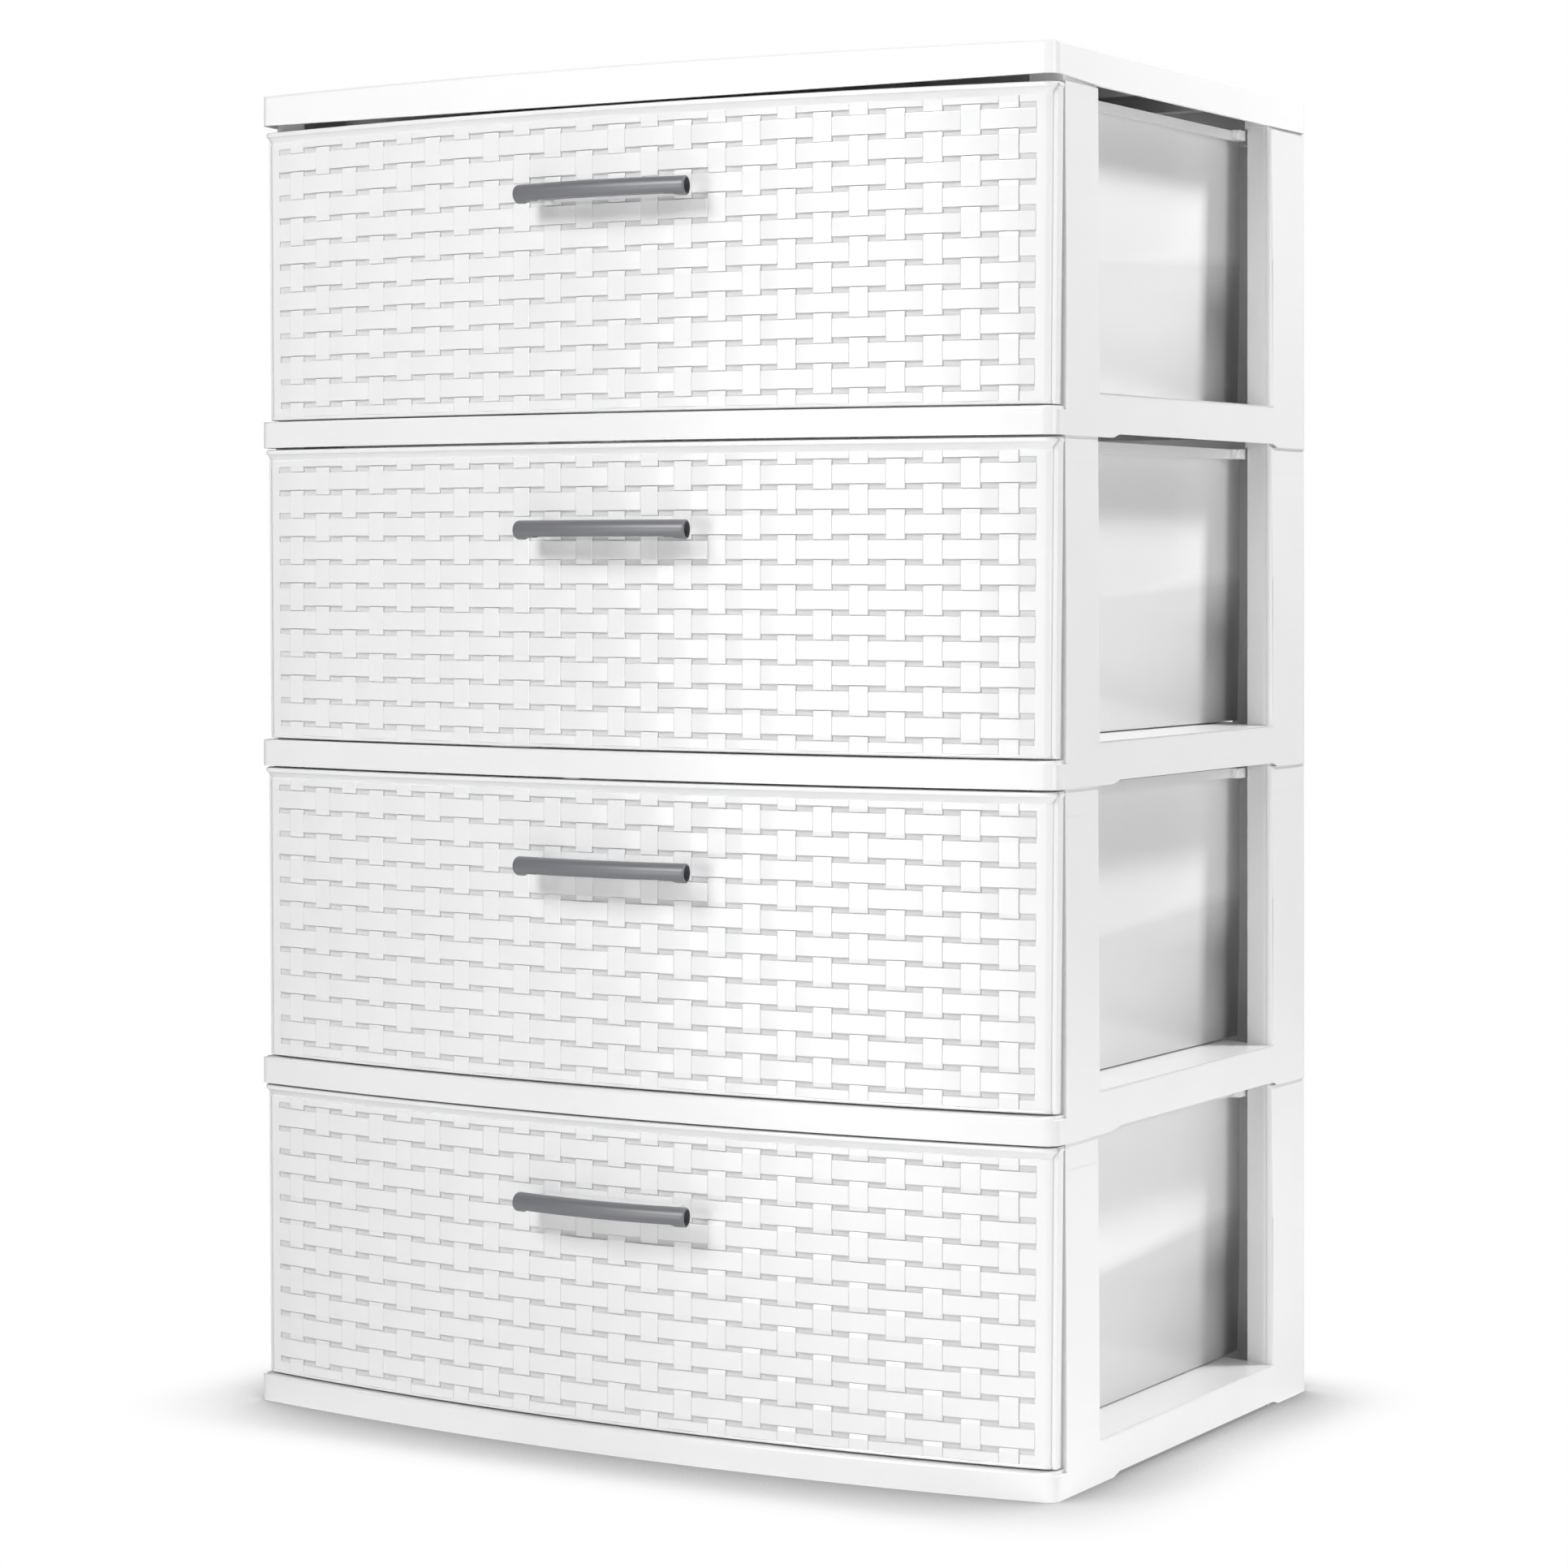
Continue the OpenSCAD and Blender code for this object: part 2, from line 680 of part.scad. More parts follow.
// an arched bar with full-round feet, hollow ends and two pegs
module handle(level) {
  end_angle = asin(handle_half / handle_r);
  foot_angle = asin((handle_half - handle_foot) / handle_r);
  color(grey) translate([0, -mid_y, level * level_pitch]) {
    difference() {
      translate([0, handle_bow_y, handle_z]) rotate([0, 0, 270 - end_angle])
        rotate_extrude(angle = 2 * end_angle, $fn = arc_fn) translate([handle_r, 0]) circle(d = handle_dia);
      // flat underside between the feet
      translate([-handle_half + handle_foot, handle_front_y - 1, handle_z - handle_dia])
        cube([handle_l - 2 * handle_foot, handle_dia * 2, handle_dia / 2 + handle_flat]);
      // seat on the bracket
      intersection() {
        translate([0, handle_bow_y, bracket_low - 1])
          cylinder(r = bracket_face_r + peg_clear, h = bracket_top - bracket_low + 2, $fn = arc_fn);
        translate([-bracket_half - peg_clear, handle_axis_y - handle_dia, 0])
          cube([2 * (bracket_half + peg_clear), handle_dia * 3, big]);
      }
      // hollow ends
      both_sides() translate([0, handle_bow_y, handle_z]) rotate([0, 0, -90 + end_angle])
        translate([handle_r, 0, 0]) rotate([90, 0, 0])
          cylinder(d = handle_bore, h = 2 * handle_bore_d, center = true);
    }
    both_sides() translate([peg_span / 2, handle_axis_y, handle_z]) rotate([-90, 0, 0])
      cylinder(d = peg_dia, h = handle_dia / 2 + peg_l);
  }
}

frame_unit(0);  // frame_unit_1
frame_unit(1);  // frame_unit_2
frame_unit(2);  // frame_unit_3
frame_unit(3);  // frame_unit_4
top_cover();
drawer(0);  // drawer_1
drawer(1);  // drawer_2
drawer(2);  // drawer_3
drawer(3);  // drawer_4
handle(0);  // handle_1
handle(1);  // handle_2
handle(2);  // handle_3
handle(3);  // handle_4
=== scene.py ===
import math

import bmesh
import bpy
from mathutils import Matrix, Vector


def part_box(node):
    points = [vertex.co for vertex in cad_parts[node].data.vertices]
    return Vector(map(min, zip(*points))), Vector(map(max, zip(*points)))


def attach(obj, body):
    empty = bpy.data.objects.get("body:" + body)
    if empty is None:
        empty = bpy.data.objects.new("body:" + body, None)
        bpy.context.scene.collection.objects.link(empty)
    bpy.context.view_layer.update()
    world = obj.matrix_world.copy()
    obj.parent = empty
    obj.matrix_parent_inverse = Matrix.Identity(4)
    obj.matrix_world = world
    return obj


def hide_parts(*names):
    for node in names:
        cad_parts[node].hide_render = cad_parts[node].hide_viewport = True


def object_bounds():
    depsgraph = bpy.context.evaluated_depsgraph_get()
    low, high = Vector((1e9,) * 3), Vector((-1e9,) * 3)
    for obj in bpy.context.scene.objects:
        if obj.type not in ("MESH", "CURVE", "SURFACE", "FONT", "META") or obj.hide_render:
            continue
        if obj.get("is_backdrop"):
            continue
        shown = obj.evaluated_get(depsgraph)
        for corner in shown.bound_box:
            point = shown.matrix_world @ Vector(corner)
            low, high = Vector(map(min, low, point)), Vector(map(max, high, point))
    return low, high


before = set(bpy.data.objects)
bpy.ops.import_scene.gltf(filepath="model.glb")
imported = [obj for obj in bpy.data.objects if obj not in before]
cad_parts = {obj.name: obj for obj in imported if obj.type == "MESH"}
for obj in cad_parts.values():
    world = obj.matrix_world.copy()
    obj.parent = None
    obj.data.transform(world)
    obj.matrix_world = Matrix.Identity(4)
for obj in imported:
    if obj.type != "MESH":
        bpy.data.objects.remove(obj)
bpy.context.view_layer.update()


# ---- Camera ----
# The photograph looks level at the tower from its front right, from about 2.4 m away, with the
# lens shifted down so that the uprights stay upright.
camera = bpy.data.objects.new("camera", bpy.data.cameras.new("camera"))
camera.data.lens = 92.28
camera.data.sensor_width = 36.0
camera.data.shift_y = -0.1421
camera.data.clip_end = 50.0
camera.location = (1.2788, -2.1635, 0.5250)
camera.rotation_euler = (math.radians(90), 0, math.radians(30.353))
bpy.context.collection.objects.link(camera)
bpy.context.scene.camera = camera
bpy.context.scene.view_settings.view_transform = "Standard"


# ---- Paper floor ----
# A sheet of white background paper. The camera sees it plain white but for the tower's soft contact
# shadow, and it throws the lamps' light back up at the tower.
def to_linear(hex_colour):
    """An sRGB hex colour as linear red, green, blue and alpha."""
    channels = [int(hex_colour[i:i + 2], 16) / 255 for i in (1, 3, 5)]
    return [c / 12.92 if c <= 0.04045 else ((c + 0.055) / 1.055) ** 2.4 for c in channels] + [1.0]


def add_node(tree, kind, inputs=(), **settings):
    """Adds a node with its settings. Inputs maps its sockets to values or to the sockets that feed them."""
    node = tree.nodes.new(kind)
    for name, value in settings.items():
        setattr(node, name, value)
    for name, value in dict(inputs).items():
        if isinstance(value, bpy.types.NodeSocket):
            tree.links.new(value, node.inputs[name])
        else:
            node.inputs[name].default_value = value
    return node


def new_material(name):
    """A node material with nothing in it but its output."""
    material = bpy.data.materials.new(name)
    material.use_nodes = True
    material.node_tree.nodes.clear()
    return material, material.node_tree


def show_as(tree, shader):
    """Puts a shader on its material's output."""
    add_node(tree, "ShaderNodeOutputMaterial", {"Surface": shader})


def new_piece(name, shape, material):
    """Turns a bmesh into an object in the scene, smooth but for its real edges."""
    data = bpy.data.meshes.new(name)
    shape.to_mesh(data)
    shape.free()
    data.materials.append(material)
    data.shade_smooth()
    data.set_sharp_from_angle(angle=math.radians(35))
    piece = bpy.data.objects.new(name, data)
    bpy.context.collection.objects.link(piece)
    return piece


FLOOR_SIZE = 14.0
FOOTPRINT = (0.278, 0.178)  # half the tower's width and depth
SHADOW_ZONE = (0.03, 0.09)  # over this way from the footprint, the shadow fades to plain white
SHADOW_REACH = 0.12         # how near the tower has to be to shade the paper
OPEN_SHARE = (0.45, 0.94)   # the share of open sky where the shadow is deepest and where it ends
DEEPEST = 0.30              # how much of the white is left at the tower's foot
SHADOW_SAMPLES = 8
paper, tree = new_material("white_background_paper")
path = add_node(tree, "ShaderNodeLightPath")
place = add_node(tree, "ShaderNodeTexCoord").outputs["Object"]
mirrored = add_node(tree, "ShaderNodeVectorMath", {0: place}, operation="ABSOLUTE")
beyond = add_node(tree, "ShaderNodeVectorMath", {0: mirrored.outputs["Vector"], 1: (*FOOTPRINT, 0)},
                  operation="SUBTRACT")
outside = add_node(tree, "ShaderNodeVectorMath", {0: beyond.outputs["Vector"], 1: (0, 0, 0)},
                   operation="MAXIMUM")
away = add_node(tree, "ShaderNodeVectorMath", {0: outside.outputs["Vector"]}, operation="LENGTH")
open_sky = add_node(tree, "ShaderNodeAmbientOcclusion", {"Distance": SHADOW_REACH}, samples=SHADOW_SAMPLES)
shaded = add_node(tree, "ShaderNodeMapRange", {
    "Value": open_sky.outputs["AO"], "From Min": OPEN_SHARE[0], "From Max": OPEN_SHARE[1],
    "To Min": DEEPEST, "To Max": 1.0})
fade = add_node(tree, "ShaderNodeMapRange", {
    "Value": away.outputs["Value"], "From Min": SHADOW_ZONE[0], "From Max": SHADOW_ZONE[1]},
    interpolation_type="SMOOTHSTEP")
seen = add_node(tree, "ShaderNodeMix", {
    "Factor": fade.outputs["Result"], "A": shaded.outputs["Result"], "B": 1.0})
lit = add_node(tree, "ShaderNodeBsdfDiffuse", {"Color": to_linear("#F4F4F4")})
white = add_node(tree, "ShaderNodeEmission", {"Color": (1, 1, 1, 1), "Strength": seen.outputs["Result"]})
show_as(tree, add_node(tree, "ShaderNodeMixShader", {
    "Fac": path.outputs["Is Camera Ray"], 1: lit.outputs[0], 2: white.outputs[0]}).outputs[0])
sheet = bmesh.new()
bmesh.ops.create_grid(sheet, x_segments=1, y_segments=1, size=FLOOR_SIZE / 2)
floor = new_piece("floor", sheet, paper)
floor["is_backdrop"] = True


# ---- Surround ----
# The white studio all round. It is plain white to the camera, and adds only a little light of its
# own to the tower.
SURROUND = 0.03
world = bpy.data.worlds.new("studio")
world.use_nodes = True
bpy.context.scene.world = world
world.node_tree.nodes.clear()
path = add_node(world.node_tree, "ShaderNodeLightPath")
strength = add_node(world.node_tree, "ShaderNodeMapRange",
                    {"Value": path.outputs["Is Camera Ray"], "To Min": SURROUND, "To Max": 1.0})
sky = add_node(world.node_tree, "ShaderNodeBackground",
               {"Color": (1, 1, 1, 1), "Strength": strength.outputs[0]})
add_node(world.node_tree, "ShaderNodeOutputWorld", {"Surface": sky.outputs[0]})


# ---- Lamps ----
# Soft boxes: a key high at the front left, a low panel beside it that lies as a sheen along the
# fronts, two fills from the right, one above, and a small one high behind the right side.
def soft_box(name, place, target, size, power):
    """A lamp of size (width, height) that faces the target."""
    lamp = bpy.data.objects.new(name, bpy.data.lights.new(name, "AREA"))
    lamp.data.shape = "RECTANGLE"
    lamp.data.size, lamp.data.size_y = size
    lamp.data.energy = power
    lamp.location = place
    lamp.rotation_euler = (Vector(target) - Vector(place)).to_track_quat("-Z", "Y").to_euler()
    bpy.context.collection.objects.link(lamp)


soft_box("key", (-0.48, -2.21, 1.94), (0, -0.13, 0.45), (0.9, 0.9), 38)
soft_box("gloss_panel", (-0.63, -2.65, 0.42), (0, -0.13, 0.42), (0.62, 0.85), 12)
soft_box("front_right", (2.21, -1.85, 0.80), (0, -0.13, 0.8), (0.9, 1.6), 4)
soft_box("right_fill", (2.77, -0.52, 0.80), (0, -0.13, 0.8), (1.2, 1.6), 18.5)
soft_box("top", (0.48, -0.50, 2.90), (0.2, -0.1, 0.6), (1.0, 1.0), 16)
soft_box("rear_right", (1.12, 1.02, 1.95), (0.25, 0, 0.6), (0.3, 0.3), 35)


# ---- Frame units ----
# Four stacking mouldings in white polypropylene, each a rail ring with four posts on it. They are
# the CAD solids with every outer edge eased, as the mould leaves them.
MM = 0.001
LEVELS = (1, 2, 3, 4)
SPARK_GRAIN = 0.9 * MM     # coarser than the real 0.1 mm, so that it shows
GRAIN_STRENGTH = 0.25
CLOUD = 70 * MM
MATT_ROUGHNESS = 0.62      # of the coarser finish on the floors of the weave's gaps
PLASTIC_IOR = 1.49


def moulded_plastic(name, pale, dark, recess_shade, roughness, grain_depth):
    """Moulded plastic, clouded between two colours, with the tool's grain, and matt in the recesses, where a
    darker colour is painted shade.
    """
    material, tree = new_material(name)
    place = add_node(tree, "ShaderNodeTexCoord").outputs["Object"]
    cloud = add_node(tree, "ShaderNodeTexNoise", {"Vector": place, "Scale": 1 / CLOUD, "Detail": 3.0})
    grain = add_node(tree, "ShaderNodeTexNoise", {"Vector": place, "Scale": 1 / SPARK_GRAIN, "Detail": 2.0})
    colour = add_node(tree, "ShaderNodeMix", {
        "Factor": cloud.outputs["Fac"], "A": to_linear(dark), "B": to_linear(pale)}, data_type="RGBA")
    bump = add_node(tree, "ShaderNodeBump", {
        "Height": grain.outputs["Fac"], "Strength": GRAIN_STRENGTH, "Distance": grain_depth})
    recess = add_node(tree, "ShaderNodeAttribute", attribute_name="recess").outputs["Fac"]
    # The recess colour is painted shade: it darkens the surface wherever the recess attribute is 1.
    recess_shaded = add_node(tree, "ShaderNodeMix", {
        "Factor": recess, "A": colour.outputs["Result"], "B": to_linear(recess_shade)}, data_type="RGBA")
    sheen = add_node(tree, "ShaderNodeMapRange", {
        "Value": recess, "To Min": roughness, "To Max": MATT_ROUGHNESS})
    plastic = add_node(tree, "ShaderNodeBsdfPrincipled", {
        "Base Color": recess_shaded.outputs["Result"], "Roughness": sheen.outputs["Result"],
        "Normal": bump.outputs["Normal"], "IOR": PLASTIC_IOR, "Specular IOR Level": 1.0})
    show_as(tree, plastic.outputs[0])
    return material


# Injection-moulded polypropylene, bright white and a little waxy. The tool's fine spark finish
# gives a soft sheen, and the melt's flow leaves faint cloudiness. Its grey for the recesses is
# painted shade on the floors of the weave's gaps.
WHITE_ROUGHNESS = 0.27
WHITE_GRAIN_DEPTH = 0.012 * MM
white_plastic = moulded_plastic("white_polypropylene_moulded", "#F1F1F1", "#ECECED", "#D8D8D9",
                                WHITE_ROUGHNESS, WHITE_GRAIN_DEPTH)

EDGE_EASE = 0.7 * MM
SMOOTH_UP_TO = math.radians(30)
SAME_PLANE = math.radians(0.4)
WELD = 0.001 * MM            # vertices nearer than this are one
WINDOW_ROUND = 3.6 * MM      # of each side window's outer edges, below and behind
SIDE_RAIL_H = 25 * MM
REAR_POST_D = 57 * MM
EDGE_NEAR = 0.1 * MM         # how near an edge lies to the face that it bounds
POST_NEAR = 0.5 * MM         # the same beside the rear posts
FLAT = 0.999                 # how nearly a flat face's normal follows an axis
BEAD_STEP = 0.35 * MM        # the bead along these edges stands a little proud of the faces beside it
BEAD_PROUD = 0.45 * MM
WITNESS_BELOW = 15.5 * MM    # from the seam above
WITNESS_HALF = 0.25 * MM
WITNESS_PROUD = 0.2 * MM
LEVEL_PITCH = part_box("frame_unit_2")[0][2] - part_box("frame_unit_1")[0][2]


def keep_flat(piece):
    """Weighs the piece's shading by face size, so that flat faces stay flat up to their rounded edges."""
    piece.modifiers.new("flat_faces", "WEIGHTED_NORMAL").keep_sharp = True


def cad_copy(node):
    """A CAD solid as a bmesh of welded triangles."""
    shape = bmesh.new()
    shape.from_mesh(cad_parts[node].data)
    bmesh.ops.remove_doubles(shape, verts=shape.verts, dist=WELD)
    return shape


def join_flat_faces(shape):
    """Makes each flat face of a bmesh one face."""
    bmesh.ops.dissolve_limit(shape, angle_limit=SAME_PLANE, verts=shape.verts, edges=shape.edges,
                             use_dissolve_boundaries=False, delimit=set())


def ease_edges(shape, ease, segments, wanted):
    """Rounds the wanted ones of a bmesh's sharp edges."""
    sharp = [e for e in shape.edges
             if len(e.link_faces) == 2 and e.calc_face_angle() > SMOOTH_UP_TO and wanted(e)]
    bmesh.ops.bevel(shape, geom=sharp, offset=ease, offset_type="OFFSET", affect="EDGES", segments=segments,
                    profile=0.5, clamp_overlap=True, material=-1)


def raise_witness_line(shape, height):
    """Raises the thin line round each post where two parts of the mould meet."""
    for level in (height - WITNESS_HALF, height, height + WITNESS_HALF):
        cut = bmesh.ops.bisect_plane(shape, geom=shape.verts[:] + shape.edges[:] + shape.faces[:],
                                     dist=WELD, plane_co=(0, 0, level), plane_no=(0, 0, 1))
        if level == height:
            ridge = [g for g in cut["geom_cut"] if isinstance(g, bmesh.types.BMVert)]
    shape.normal_update()
    for vert in ridge:
        vert.co += vert.normal * WITNESS_PROUD


def beside_window(edge, side_x, rail_top, post_front):
    """Whether a frame unit's edge is the lower or the rear outer edge of one of its side windows."""
    outside = all(abs(v.co.x) > side_x - EDGE_NEAR for v in edge.verts)
    below = all(abs(v.co.z - rail_top) < EDGE_NEAR and v.co.y < post_front + 2 * POST_NEAR
                for v in edge.verts)
    behind = all(abs(v.co.y - post_front) < POST_NEAR for v in edge.verts)
    return outside and (below or behind)


def on_bead(face, side_x, rail_top, post_front):
    """Whether a face belongs to the rounding along those edges."""
    middle = face.calc_center_median()
    outside = abs(middle.x) > side_x - WINDOW_ROUND
    below = rail_top - WINDOW_ROUND < middle.z < rail_top and middle.y < post_front + WINDOW_ROUND
    behind = post_front < middle.y < post_front + WINDOW_ROUND and middle.z > rail_top - WINDOW_ROUND
    return outside and (below or behind) and max(map(abs, face.normal)) < FLAT


for level in LEVELS:
    low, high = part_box(f"frame_unit_{level}")
    window = (high[0], low[2] + SIDE_RAIL_H, high[1] - REAR_POST_D)
    shape = cad_copy(f"frame_unit_{level}")
    join_flat_faces(shape)
    ease_edges(shape, WINDOW_ROUND, 4, lambda edge: beside_window(edge, *window))
    ease_edges(shape, EDGE_EASE, 2, lambda edge: True)
    shape.normal_update()
    bead = [f for f in shape.faces if on_bead(f, *window)]
    bmesh.ops.inset_region(shape, faces=bead, thickness=BEAD_STEP, depth=BEAD_PROUD, use_even_offset=False)
    raise_witness_line(shape, low[2] + LEVEL_PITCH - WITNESS_BELOW)
    unit = new_piece(f"frame_unit_{level}.moulding", shape, white_plastic)
    keep_flat(unit)
    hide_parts(f"frame_unit_{level}")
    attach(unit, "tower")


# ---- Top cover ----
# The skirted lid that plugs onto the top unit's spigots, with every outer edge eased. It is the
# same moulded polypropylene, coloured a shade whiter as painted light, so that it reads brighter lit than
# the units below.
lid_plastic_painted_lighter = moulded_plastic("white_polypropylene_lid_painted_lighter", "#F9F9F9", "#F5F5F6", "#F5F5F6",
                              WHITE_ROUGHNESS, WHITE_GRAIN_DEPTH)
shape = cad_copy("top_cover")
join_flat_faces(shape)
ease_edges(shape, EDGE_EASE, 2, lambda edge: True)
cover = new_piece("top_cover.moulding", shape, lid_plastic_painted_lighter)
keep_flat(cover)
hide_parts("top_cover")
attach(cover, "tower")


# ---- Drawer fronts ----
# The bowed front of each drawer, moulded with a basket weave: flat upright stakes, level bands
# that pass over and under them, and small square gaps between. A rim frames it above and beside.
RAIL_BOW = 24 * MM
corner_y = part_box("frame_unit_1")[0][1] + RAIL_BOW      # where the rails' front corners stand
FACE_HALF = 274 * MM
FACE_BOW = 23.5 * MM
FACE_SET_BACK = 4.3 * MM
FACE_EDGE_R = 4.5 * MM
FACE_WALL = 2.8 * MM
WRAP_END = 13.9 * MM
FLANGE = 7 * MM
FLANGE_PROUD = 2.6 * MM
FOOT_TAPER = 1.6 * MM
face_r = (FACE_HALF ** 2 + FACE_BOW ** 2) / (2 * FACE_BOW)
face_centre_y = corner_y + FACE_SET_BACK - FACE_BOW + face_r

STAKES = 23
STAKE_PITCH = 22.72 * MM
STAKE_W = 11.6 * MM
GAP_ROWS = 12
BAND_PITCH = 14.38 * MM
GAP_H = 3.5 * MM
FIRST_GAP = 26.6 * MM                         # height of the lowest gaps above the level's base
WEAVE_HALF = 266.3 * MM                       # along the bow
GAP_DEPTH = 1.1 * MM
STAKE_LEVEL = 0.3 * MM
BAND_CROWN = 1.1 * MM
BAND_END = -0.2 * MM
STEP = 0.08 * MM                              # half the width of a wall between two levels
EDGE_SOFT = 0.36 * MM                         # how far in from its edge each strip starts to round over
EDGE_DROP = 0.12 * MM
EDGE_HOLD = 0.12 * MM                         # from there to the line that keeps the rest of the strip flat
GROOVE = 0.6 * MM                             # how deep a strip dips where another covers it
GROOVE_FLOOR = 0.22 * MM
GROOVE_END = 0.55 * MM
TOP_SLOPE = 0.3 * MM                          # upper edges lean back more towards the front's foot
BAND_COLUMNS = (-2.6 * MM, 0, 2.6 * MM)       # across each stretch between stakes, from its middle
BAND_ROWS = (3.6 * MM, 6.8 * MM)              # up each band, from its foot
FRONT_LOW, FRONT_HIGH = 17.2 * MM, 197.4 * MM
RIM_LOW = 190.4 * MM
RIM_PROUD = 2.9 * MM
BACK_NEAR = 0.6 * MM                          # levels nearer to the wall's back than this belong to it
SIDE_NEAR = 1 * MM
SIDE_STEPS = 8
PAST_WEAVE = 1.0                              # stands for a place anywhere past the weave's end


def band_surface(across):
    """How far a band stands out at across, from -1 to 1 over its visible length: it arches over a stake."""
    across = min(1.0, abs(across))
    return BAND_END + (BAND_CROWN - BAND_END) * math.cos(across * math.pi / 2) ** 1.3


def stake_surface(up):
    """How far a stake stands out at up, from -1 to 1 over its visible height: it tucks in at both ends."""
    tuck = max(0.0, (abs(up) - 0.62) / 0.38)
    return STAKE_LEVEL - 0.5 * MM * tuck * tuck


def rounded_edge(inside):
    """The drop of a strip's surface at inside, the way in from its edge."""
    return -EDGE_DROP * max(0.0, 1 - inside / EDGE_SOFT) ** 2


def dip(outside):
    """The dip of a strip at outside, the way out from the edge of the strip that covers it."""
    return -GROOVE * min(1.0, max(0.0, (GROOVE_END - outside) / (GROOVE_END - GROOVE_FLOOR)))


def stake_is_over(stake, band):
    """Whether a stake passes over a band where they cross, and not under it."""
    return (stake + band) % 2 == 1


def weave_level(along, height):
    """The relief at a place: along the bow from the middle, and height above the level's base."""
    nearest = round(along / STAKE_PITCH)
    on_stake = abs(along - nearest * STAKE_PITCH) < STAKE_W / 2 and abs(nearest) <= STAKES // 2
    row = (height - FIRST_GAP) / BAND_PITCH
    gap_row = round(row)
    in_gap = abs(height - FIRST_GAP - gap_row * BAND_PITCH) < GAP_H / 2 and 0 <= gap_row < GAP_ROWS
    band = math.floor(row) + 1                # 0 is the part band below the lowest gaps
    if abs(along) > WEAVE_HALF:
        return BAND_END
    from_stake = abs(along - nearest * STAKE_PITCH) - STAKE_W / 2
    if on_stake:
        edge = 0.0
        if in_gap:
            up = height - FIRST_GAP - gap_row * BAND_PITCH
            band = gap_row if stake_is_over(nearest, gap_row) else gap_row + 1
            edge = dip(GAP_H / 2 - up if band == gap_row else GAP_H / 2 + up)
        middle = FIRST_GAP + (band - 0.5) * BAND_PITCH
        if stake_is_over(nearest, band):
            edge += rounded_edge(-from_stake)
            return edge + stake_surface((height - middle) / (BAND_PITCH / 2 + GAP_H / 2))
        edge = rounded_edge((BAND_PITCH - GAP_H) / 2 - abs(height - middle))
        return edge + band_surface((along - nearest * STAKE_PITCH) / (STAKE_PITCH * 1.5 - STAKE_W / 2))
    if in_gap:
        return -GAP_DEPTH
    left = math.floor(along / STAKE_PITCH)
    under = left + 1 if stake_is_over(left, band) else left
    edge = rounded_edge((BAND_PITCH - GAP_H) / 2 - abs(height - FIRST_GAP - (band - 0.5) * BAND_PITCH))
    if stake_is_over(nearest, band) and abs(nearest) <= STAKES // 2:
        edge += dip(from_stake)
    if abs(under) > STAKES // 2:
        return edge + BAND_END
    return edge + band_surface((along - under * STAKE_PITCH) / (STAKE_PITCH * 1.5 - STAKE_W / 2))


def both_sides_of(edge):
    """The foot and the top of the steep wall at an edge."""
    return [edge - STEP, edge + STEP]


def front_columns():
    """The front's plan as a list of (x, y, outward x, outward y, along, taper share, proud)."""
    lines = [0.0]
    for stake in range(STAKES // 2 + 1):
        middle = stake * STAKE_PITCH
        lines += both_sides_of(middle + STAKE_W / 2) + [middle + STAKE_W / 2 + GROOVE_END]
        lines += [middle + STAKE_W / 2 - EDGE_SOFT, middle + STAKE_W / 2 - EDGE_SOFT - EDGE_HOLD]
        lines += [middle + STAKE_PITCH / 2 + d for d in BAND_COLUMNS]
        if stake:
            lines += both_sides_of(middle - STAKE_W / 2) + [middle - STAKE_W / 2 - GROOVE_END]
            lines += [middle - STAKE_W / 2 + EDGE_SOFT, middle - STAKE_W / 2 + EDGE_SOFT + EDGE_HOLD, middle]
    lines = [a for a in lines if a < WEAVE_HALF - STEP] + both_sides_of(WEAVE_HALF)
    edge_x = FACE_HALF - FACE_EDGE_R
    turn = math.asin(edge_x / (face_r - FACE_EDGE_R))
    edge_y = face_centre_y - (face_r - FACE_EDGE_R) * math.cos(turn)
    last_stake = (STAKES // 2) * STAKE_PITCH + STAKE_W / 2
    half = []
    for along in sorted(lines) + [turn * face_r]:
        a = along / face_r
        share = min(1.0, max(0.0, (along - last_stake) / (WEAVE_HALF - last_stake)))
        half.append((face_r * math.sin(a), face_centre_y - face_r * math.cos(a),
                     math.sin(a), -math.cos(a), along, share, 0.0))
    for step in range(1, SIDE_STEPS + 1):
        a = turn + (math.pi / 2 - turn) * step / SIDE_STEPS
        half.append((edge_x + FACE_EDGE_R * math.sin(a), edge_y - FACE_EDGE_R * math.cos(a),
                     math.sin(a), -math.cos(a), PAST_WEAVE, 1.0, 0.0))
    wrap_y = corner_y + WRAP_END
    flange_y = corner_y + WRAP_END - FLANGE
    flange = [(flange_y - 0.5 * MM, 0.0), (flange_y, 0.3 * MM),
              (flange_y + 0.5 * MM, FLANGE_PROUD - 0.4 * MM), (flange_y + 1.1 * MM, FLANGE_PROUD),
              (wrap_y - 0.7 * MM, FLANGE_PROUD), (wrap_y, FLANGE_PROUD - 0.6 * MM)]
    for y, proud in flange:
        half.append((FACE_HALF, y, 1.0, 0.0, PAST_WEAVE, 1.0, proud))
    mirrored = [(-x, y, -out_x, out_y, -along, share, proud)
                for x, y, out_x, out_y, along, share, proud in half[:0:-1]]
    return mirrored + half


